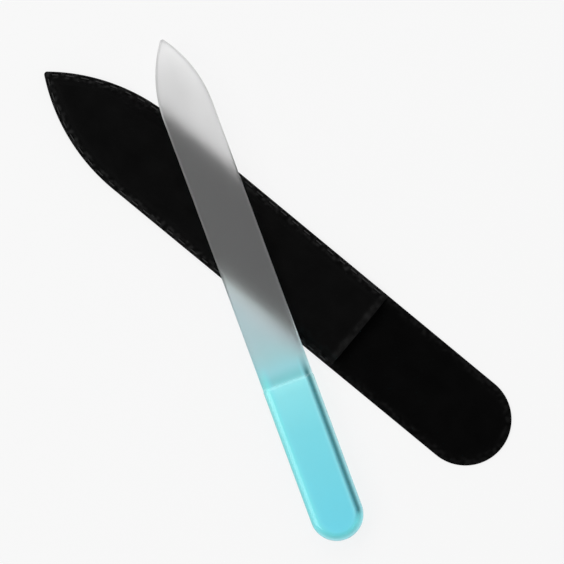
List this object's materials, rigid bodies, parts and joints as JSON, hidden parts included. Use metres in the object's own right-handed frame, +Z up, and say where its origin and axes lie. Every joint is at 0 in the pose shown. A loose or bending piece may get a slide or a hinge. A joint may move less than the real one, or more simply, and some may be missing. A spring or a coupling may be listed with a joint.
{
  "type": "glass nail file with sleeve",
  "caption": "Flat glass nail file with a pointed frosted blade and a tinted polished grip, resting across the sewn fabric sleeve whose open-ended pocket stores it.",
  "frame": {"origin": "middle of the sleeve's flat underside, on the surface that the sleeve lies on", "axes": "+X along the sleeve from its point to its round end, +Y across it towards the file's point, +Z up, away from the surface"},
  "size_m": [0.1558, 0.0745, 0.0094],
  "materials": {
    "tinted_glass": "etched matt blade, polished turquoise grip",
    "back_velvet": "short black pile",
    "front_velvet": "short black pile",
    "needle_thread": "spun polyester thread",
    "bobbin_thread": "spun polyester thread"
  },
  "bodies": {
    "sleeve": {"sleeve_back_panel": "back_velvet", "sleeve_front_panel": "front_velvet", "seam_needle_thread": "needle_thread", "seam_bobbin_thread": "bobbin_thread"},
    "file": {"glass_file": "tinted_glass"}
  },
  "joints": [
    {"name": "file_lift", "type": "slide", "parent": "sleeve", "child": "file", "axis": [0, 0, 1], "range_m": [0, 0.06]}
  ]
}
